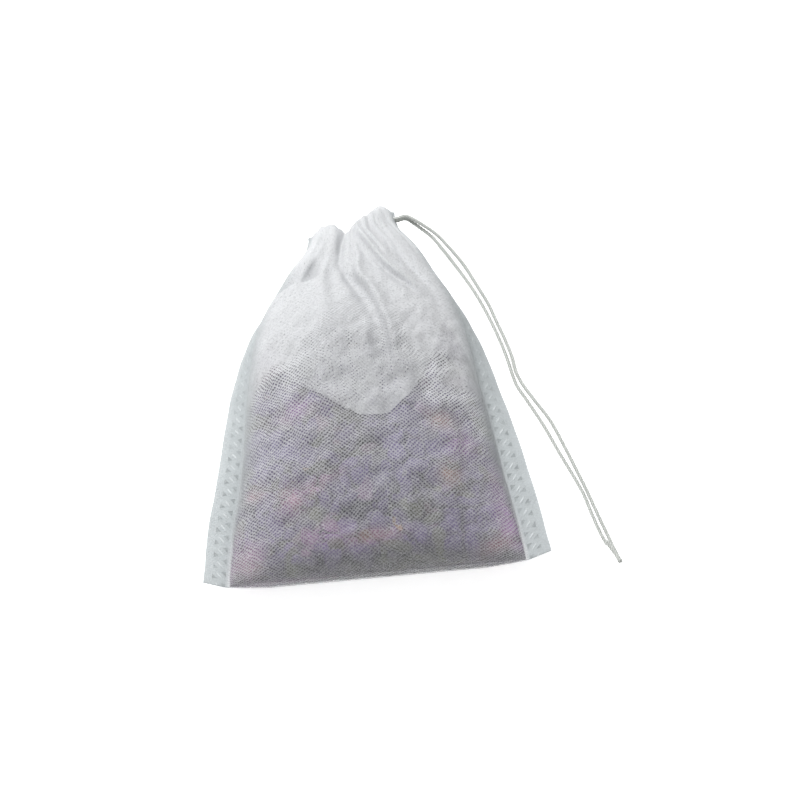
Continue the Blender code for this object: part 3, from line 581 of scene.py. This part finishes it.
def twisted_yarn(name, points, run, finish, radius, pitch, plies=3, sides=8, fray=None, widths=1.0):
    """Plies that twine round the path: each is a tube whose middle circles it once a pitch.

    A ply's radius is 0.58 of the yarn's, and its middle stands 0.42 of the yarn's radius off the
    path. fray opens the plies towards the end, and each ply's ends close to a point.
    """
    level, up = side_frames(points)
    widths = np.broadcast_to(widths, run.shape)
    close = np.sqrt(np.clip(np.minimum(run / (0.5 * radius), (run[-1] - run) / (0.5 * radius)), 0.0, 1.0))
    spread = np.ones_like(run) if fray is None else fray
    all_points, all_faces, all_maps = [], [], []
    for ply in range(plies):
        turn = 2 * math.pi * (run / pitch + ply / plies)
        middle = points + (0.42 * radius * spread * widths)[:, None] * (
            np.cos(turn)[:, None] * level + np.sin(turn)[:, None] * up
        )
        angle = np.linspace(0, 2 * math.pi, sides + 1)
        size = (0.58 * radius * widths * close + 1e-6)[:, None, None]
        ring = middle[:, None, :] + size * (
            np.cos(angle)[None, :, None] * level[:, None, :] + np.sin(angle)[None, :, None] * up[:, None, :]
        )
        flat = np.stack(np.broadcast_arrays(run[:, None] * 1000, angle[None, :] / (2 * math.pi) * 0.02), -1)
        all_faces.append(grid_faces(len(points), sides + 1) + ply * len(points) * (sides + 1))
        all_points.append(ring.reshape(-1, 3))
        all_maps.append(flat.reshape(-1, 2))
    piece = make_piece(
        name, np.concatenate(all_points), np.concatenate(all_faces), finish, True,
        {"ply": np.concatenate(all_maps)},
    )
    return piece


def make_free_string(finish):
    """The two strands beside the bag and the twisted end that joins them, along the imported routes."""
    pieces = []
    for name, route in (("string_strand_1", STRAND_1_ROUTE), ("string_strand_2", STRAND_2_ROUTE)):
        points, run = along_route(route, EXIT, 0.00022)
        drawn, drawn_run = along_route(((-0.0008, 0.0, route[0][2]), *route), EXIT, 0.00022)
        piece = twisted_yarn(name, drawn + [0, 0, 0.0001], drawn_run, finish, 0.00046, 0.0024)
        pieces.append((piece, points, run[-1]))
    points, run = along_route(TWISTED_END_ROUTE, EXIT, 0.00015)
    widths = np.interp(run / run[-1], [0, 0.35, 0.7, 1.0], [1.1, 1.0, 0.75, 0.8])
    fray = 1 + 0.5 * smooth_step(run / run[-1], 0.75, 1.0)
    end = twisted_yarn("string_twisted_end", points, run, finish, 0.0007, 0.0030, 4, 8, fray, widths)
    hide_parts("drawstring_twisted_end")
    for index, (piece, points, length) in enumerate(pieces):
        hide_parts(f"drawstring_strand_{index + 1}")


def hem_string(finish):
    """The stretch of string inside the hem: an oval once round the mouth, from the hole and back to it."""
    turn = np.linspace(0.06, 2 * math.pi - 0.06, 360)
    across = np.cos(turn) * 0.93
    layer = np.where(np.sin(turn) >= 0, 1, -1)
    near = np.clip(across + np.linspace(-STRING_EASE, STRING_EASE, 9)[:, None], -1, 1)
    level = mouth_edge(near).min(axis=0)
    length = BAG_LENGTH - STRING_INSET - (mouth_edge(across) - level)
    held = cloth_point(across, 0 * across, length, layer, 0.0033, level, slack=0.0)
    hole = np.array(EXIT) + [-0.0004, 0, SEAM_HEIGHT]
    held = np.concatenate([[hole + [0, 0, 0.00055]], held, [hole - [0, 0, 0.00055]]])
    run = np.concatenate([[0.0], np.cumsum(np.linalg.norm(np.diff(held, axis=0), axis=1))])
    even = np.linspace(0, run[-1], 260)
    points = np.stack([np.interp(even, run, held[:, i]) for i in range(3)], axis=1)
    piece = twisted_yarn("string_in_hem", points, even, finish, STRING / 2, 0.0021)
    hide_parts("drawstring")


# Cloth


def make_cloth(finish):
    """The bag's one strip of cloth, from the front flap's free edge over the mouth, down the front, round the
    bottom fold, up the back, over the mouth again and down the back flap.

    Rows follow the strip and columns cross it from one welded edge to the other. At each mouth the
    strip turns in on a half circle round the hem, and the flap hangs inside, an even gap from the
    wall below the string, ending where its free edge runs.
    """
    fins = np.linspace(1, 0, FIN_COLUMNS + 1)[:-1]
    body = np.linspace(-1, 1, 111)
    crowd = math.pi / 2 * 0.92
    body = np.sin(body * crowd) / math.sin(crowd)
    across = np.concatenate([-np.ones(FIN_COLUMNS), body, np.ones(FIN_COLUMNS)])[None, :]
    fin = np.concatenate([-fins, 0 * body, fins[::-1]])[None, :]
    edge = mouth_edge(across)
    wave = 0.00016 * np.sin(24 * across + 1.0) + 0.00012 * np.sin(41 * across)

    def wall(length, layer):
        near = smooth_step(length / BAG_LENGTH, 0.86, 1.0)
        length, a, s = np.broadcast_arrays(length, across, fin)
        return cloth_point(a, s, length, layer, 0.0, near * (edge + wave))

    def rim(turn, layer):
        a, s, t = np.broadcast_arrays(across, fin, turn)
        deep = HEM_ROOM * (0.5 - 0.5 * np.cos(t)) * np.ones_like(a) * (1 - np.abs(s))
        placed = cloth_point(a, s, np.full_like(a, BAG_LENGTH), layer, deep, edge + wave, 1 - 0.5 * np.sin(t / 2) ** 2)
        placed[..., 1] += 0.0011 * np.sin(t)
        return placed

    def flap(share, layer, free_edge):
        length = BAG_LENGTH - share * (BAG_LENGTH - free_edge)
        a, s, length = np.broadcast_arrays(across, 0.12 * fin, length)
        down = BAG_LENGTH - length
        open_share = 1 - smooth_step(down, TUNNEL_DEPTH * 0.45, TUNNEL_DEPTH)
        deep = (0.00055 + (HEM_ROOM - 0.00055) * open_share) * (1 - 0.5 * np.abs(fin))
        near = smooth_step(length / BAG_LENGTH, 0.86, 1.0)
        placed = cloth_point(a, s, length, layer, deep, near * (edge + wave), 1 - 0.5 * open_share)
        return placed

    turn = np.linspace(0, math.pi, 8)[1:-1, None]
    ends = END_RADIUS * (1 - np.cos(np.linspace(0, math.pi / 2, 26)))[1:]
    front = np.concatenate([ends, np.linspace(END_RADIUS, BAG_LENGTH, 188)[1:]])[:, None]
    back = np.concatenate([ends[2::2], np.linspace(END_RADIUS, BAG_LENGTH, 120)[1:]])[:, None]
    front_edge = smooth_curve(FLAP_EDGE, across) / 1000
    shares = np.linspace(1, 0, FLAP_ROWS)[:, None]
    strip = np.concatenate([
        flap(shares, 1, front_edge),
        rim(turn[::-1], 1),
        wall(front[::-1], 1),
        wall(np.zeros((1, 1)), 1),
        wall(np.zeros((1, 1)), -1),
        wall(back, -1),
        rim(turn, -1),
        flap(np.linspace(0, 1, 30)[:, None], -1, BAG_LENGTH - BACK_FLAP),
    ])
    rows, columns = strip.shape[:2]
    middle = columns // 2
    steps = np.linalg.norm(np.diff(strip, axis=1), axis=2)
    u = np.concatenate([np.zeros((rows, 1)), np.cumsum(steps, axis=1)], axis=1)
    u -= u[:, middle : middle + 1]
    down = np.concatenate([[0.0], np.cumsum(np.linalg.norm(np.diff(strip[:, middle], axis=0), axis=1))])
    v = np.broadcast_to(down[:, None], u.shape)
    q = np.where(np.abs(fin) > 0, np.abs(fin) * SEAM_WIDTH, -np.clip((1 - np.abs(across)) * 0.03, 0, 1))
    q = np.broadcast_to(q, u.shape)
    seam_steps = np.linalg.norm(np.diff(strip[:, FIN_COLUMNS : FIN_COLUMNS + 1], axis=0), axis=2)
    along_seam = np.concatenate([np.zeros((1, 1)), np.cumsum(seam_steps, axis=0)])
    along_seam = np.broadcast_to(along_seam, u.shape)
    start = FLAP_ROWS + len(turn)
    along_seam = np.abs(along_seam - along_seam[start + len(front)])
    spare = np.clip(BAG_WIDTH / (u[:, -1:] - u[:, :1]), 1.0, 4.0)
    u = u * spare
    cloth_layers_and_painted_light = spare**1.4 + 0 * u
    # painted shade: within 40 mm of the bottom fold the front counts up to half as many layers, so it turns clearer
    # and the dark tea darkens it, most at the fold
    low = np.zeros((rows, 1))
    low[start : start + len(front)] = 1 - smooth_step(front[::-1], 0.0, 0.040)
    cloth_layers_and_painted_light *= 1 - 0.50 * low * (1 - 0.75 * smooth_step(np.abs(across), 0.60, 0.95))
    # painted light: the left of the cloth counts up to 0.2 more layers, so it hides more of the dark tea and looks
    # lighter
    cloth_layers_and_painted_light += 0.20 * smooth_step(-across, 0.2, 0.9)
    from_edge = (1 - shares) * (BAG_LENGTH - front_edge)
    rim_share = np.exp(-((from_edge / 0.0045) ** 2)) * smooth_step(across, -0.45, 0.05)
    upper_share = smooth_step(front_edge + from_edge, 0.052, 0.070)
    inside = smooth_step(from_edge, 0.0, 0.012)
    left_fade = inside + (1 - inside) * smooth_step(across, -0.6, 0.0)
    folded = (3.0 + 1.0 * rim_share + 0.8 * upper_share) * (0.15 + 0.85 * left_fade)
    cloth_layers_and_painted_light[:FLAP_ROWS] = np.maximum(cloth_layers_and_painted_light[:FLAP_ROWS], 1.0) * folded
    u[:FLAP_ROWS] = 1.07 * u[:FLAP_ROWS] + 0.0003
    length = front[::-1] + 0 * across
    border = smooth_curve(CONTACT_EDGE, across) / 1000 + 0.0035 * waves(across * 0.036, length, 0.016, 7, 41)
    lifted = smooth_step(length, border - 0.008, border + 0.010)
    cloth_layers_and_painted_light[start : start + len(front)] += 3.0 * lifted
    faces = grid_faces(rows, columns)
    middles = strip.reshape(-1, 3)[faces].mean(axis=1) - np.array(EXIT) - [0, 0, SEAM_HEIGHT]
    at_hole = (np.abs(middles[:, 1]) < HOLE[0]) & (np.abs(middles[:, 2]) < HOLE[1]) & (middles[:, 0] > -0.0012)
    piece = make_piece(
        "filter_cloth", strip, faces[~at_hole], finish, True,
        {"weave": np.stack([u, v], -1), "seam": np.stack([q, along_seam], -1)}, cloth_layers_and_painted_light=cloth_layers_and_painted_light,
    )
    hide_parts("filter_bag")


# Tea


def patch_stain(points):
    """Colour and share that the patches give the tea at these points, in four columns.

    A patch weighs its strength times exp(-d^2), with d counted in its own half length and half
    width. The colour is the weighted mean, and the share 1 - exp(-1.4 w) of all weights w.
    """
    x, y = points[..., 0].ravel() * 1000, (points[..., 1].ravel() + MIDDLE) * 1000
    total, colour = np.full(x.shape, 1e-6), np.full((x.size, 3), 1e-7)
    for kind, right, from_fold, long, wide, degrees, strength in PATCHES:
        turn = math.radians(degrees)
        ahead = ((x - right) * math.cos(turn) + (y - from_fold) * math.sin(turn)) / long
        aside = ((y - from_fold) * math.cos(turn) - (x - right) * math.sin(turn)) / wide
        weight = strength * np.exp(-(ahead**2) - aside**2)
        total += weight
        colour += weight[:, None] * PATCH_COLOURS[kind]
    return np.column_stack([colour / total[:, None], 1 - np.exp(-1.4 * total)])


def heap_swell(length):
    """Share of the pouch's height that the tea fills: a quarter ellipse that comes down to nothing at its far end."""
    to_end = np.clip((FILL_LENGTH - length) / FILL_END, 0.0, 1.0)
    return np.maximum(np.sqrt(1 - (1 - to_end) ** 2), 0.02)


def heap_inset(x, y):
    """How deep under the face of the cloth the bulk of the tea lies, 1.2 to 2.6 mm, in smooth lumps."""
    return 0.0019 + 0.0004 * waves(x, y, 0.006, 8, 11) + 0.0003 * waves(x, y, 0.0026, 8, 12)


def beside_seam(across):
    """Share of its depth that the tea keeps: it comes close under the cloth towards both seams."""
    return 1 - 0.82 * smooth_step(np.abs(across), 0.70, 0.98)


def make_heap(finish):
    """The bulk of the tea: the pouch's own section, 1.2 to 2.6 mm inside the cloth over most of it and close
    under it at the seams and the bottom fold, rounded off at both ends.
    """
    turn = np.linspace(0, 2 * math.pi, 161)[:-1]
    across = np.cos(turn)[None, :] * 0.997
    layer = np.where(np.sin(turn) >= 0, 1, -1)[None, :]
    near_fold = 0.0004 + 0.004 * np.linspace(0, 1, 12) ** 2
    length = np.concatenate([near_fold, np.linspace(0.0050, FILL_LENGTH - 0.0004, 120)])[:, None]
    a, l, s, w = np.broadcast_arrays(across, layer, length, heap_swell(length))
    deep = heap_inset(a * 0.035, s + 0.1 * l) * (0.18 + 0.82 * smooth_step(s, 0.002, 0.012))
    deep = deep * beside_seam(a)
    points = cloth_point(a, 0 * a, s, l, deep, 0.0, 1.0, w, 0.0003)
    rows, columns = points.shape[:2]
    ends = np.stack([points[0].mean(axis=0), points[-1].mean(axis=0)])
    faces = grid_faces(rows, columns, True)
    here = np.arange(columns)
    after = (here + 1) % columns
    first = np.stack([here, np.full(columns, rows * columns), after], 1)
    base = (rows - 1) * columns
    last = np.stack([here + base, after + base, np.full(columns, rows * columns + 1)], 1)
    flat = points.reshape(-1, 3)
    tint = 0.5 + 0.5 * waves(flat[:, 0], flat[:, 1] + flat[:, 2], 0.005, 9, 21)
    hue = 0.5 + 0.5 * waves(flat[:, 0], flat[:, 1], 0.012, 7, 22)
    tints = np.stack([tint, hue, 0 * tint + 1, 0 * tint + 1], 1)
    tints = np.concatenate([tints, np.full((2, 4), 0.5)])
    points = np.concatenate([flat, ends])
    faces = faces.tolist() + first.tolist() + last.tolist()
    piece = make_piece("tea_heap", points, faces, finish, tints=tints, stains=patch_stain(points))
    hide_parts("tea_filling")


def make_petals(name, finish, count, long, wide, power, curl, seed):
    """Dried petals or leaves pressed between the heap and the cloth, one curved sheet each.

    A petal is a grid in p along it and q across it: half width wide (1 - p^2)^power, bent so that
    its depth under the cloth is base + curl (q^2 - 1/2) plus a ripple along p, and it is draped
    by working out each of its points on the pouch's own section at that depth.
    """
    rng = np.random.default_rng(seed)
    across = np.tanh(rng.normal(0, 0.9, count)) * 0.98
    length = rng.uniform(0.0020, FILL_LENGTH - 0.004, count)
    layer = np.where(rng.uniform(0, 1, count) < 0.64, 1, -1)
    turn = rng.uniform(0, 2 * math.pi, count)
    size = long * rng.uniform(0.7, 1.25, count)
    girth = wide * rng.uniform(0.7, 1.25, count)
    base = rng.uniform(0.0007, 0.0018, count)
    tint = np.clip(rng.normal(0.5, 0.18, count), 0, 1)
    p = np.linspace(-1, 1, 8)[None, :, None]
    q = np.linspace(-1, 1, 6)[None, None, :]
    shape = np.clip(1 - p**2, 0.004, 1) ** power * (1 + 0.25 * p)
    put = [value[:, None, None] for value in (across, length, layer, turn, size, girth, base, tint)]
    across, length, layer, turn, size, girth, base, tint = put
    ripple = rng.uniform(0, 2 * math.pi, (count, 1, 1))
    dx, dy = p * size + 0 * q, q * girth * shape
    dx, dy = dx * np.cos(turn) - dy * np.sin(turn), dx * np.sin(turn) + dy * np.cos(turn)
    there = np.clip(length + dy, 0.0004, FILL_LENGTH - 0.0005)
    wide_there = half_width(there / BAG_LENGTH)
    a = np.clip(across * half_width(length / BAG_LENGTH) / wide_there + dx / wide_there, -0.993, 0.993)
    deep = base + curl * (q**2 - 0.5) + 0.00022 * np.sin(3.2 * p + ripple + 1.3 * q)
    flap_edge = smooth_curve(FLAP_EDGE, a) / 1000
    covered = smooth_step(there, flap_edge - 0.003, flap_edge) * (layer > 0)
    deep = np.clip(deep, 0.00045, 0.0026) + 0.0006 * covered
    deep = deep * (0.3 + 0.7 * smooth_step(there, 0.002, 0.010)) * beside_seam(a)
    a, there, deep, side = np.broadcast_arrays(a, there, deep, layer)
    points = cloth_point(a, 0 * a, there, side, deep, 0.0, 1.0, heap_swell(there), 0.0002)
    rows, columns = 8, 6
    one = grid_faces(rows, columns)
    faces = (one[None] + (np.arange(count) * rows * columns)[:, None, None]).reshape(-1, 4)
    shade = np.broadcast_to(tint + 0.18 * (1 - q**2), a.shape)
    rib = np.broadcast_to(np.exp(-((q / 0.25) ** 2)) + 0 * p, a.shape)
    inside = np.broadcast_to((1 - q**2) * (1 - p**4), a.shape)
    tints = np.stack([shade.ravel(), rib.ravel(), inside.ravel(), np.ones(a.size)], 1)
    make_piece(name, points, faces, finish, tints=np.clip(tints, 0, 1), stains=patch_stain(points))


# Setting


def make_floor():
    """Pale plain floor under the bag."""
    f = Finish("pale floor")
    f.shader.inputs["Base Color"].default_value = (0.90, 0.90, 0.90, 1)
    f.shader.inputs["Emission Color"].default_value = (1, 1, 1, 1)
    f.shader.inputs["Emission Strength"].default_value = 0.6
    f.shader.inputs["Roughness"].default_value = 0.9
    mesh = bpy.data.meshes.new("floor")
    mesh.from_pydata([(-2, -2, 0), (2, -2, 0), (2, 2, 0), (-2, 2, 0)], [], [(0, 1, 2, 3)])
    mesh.materials.append(f.material)
    floor = bpy.data.objects.new("floor", mesh)
    bpy.context.scene.collection.objects.link(floor)


def make_light(name, place, size, power):
    """Soft rectangular lamp that looks at the bag."""
    lamp = bpy.data.lights.new(name, "AREA")
    lamp.shape = "SQUARE"
    lamp.size = size
    lamp.energy = power
    made = bpy.data.objects.new(name, lamp)
    made.location = place
    made.visible_camera = False
    made.rotation_euler = (-Vector(place)).to_track_quat("-Z", "Y").to_euler()
    bpy.context.scene.collection.objects.link(made)


def make_setting():
    world = bpy.data.worlds.new("studio")
    world.use_nodes = True
    world.node_tree.nodes["Background"].inputs["Color"].default_value = (1, 1, 1, 1)
    world.node_tree.nodes["Background"].inputs["Strength"].default_value = 0.46
    bpy.context.scene.world = world
    bpy.context.scene.view_settings.view_transform = "Standard"
    make_floor()
    make_light("lamp from behind and left", (-0.38, 0.65, 1.08), 0.45, 21.5)
    make_light("lamp in front", (0.5, -1.0, 1.0), 1.2, 2)


place_camera()
yarn = yarn_finish()
make_free_string(yarn)
hem_string(yarn)
make_cloth(cloth_finish())
make_heap(dried_finish("crushed flowers", (0.022, 0.016, 0.033), (0.092, 0.066, 0.138), (0.06, 0.05, 0.055)))
for piece, finish_name, dark, light, veins, *form in PETALS:
    make_petals(piece, dried_finish(finish_name, dark, light, veins), *form)
make_setting()
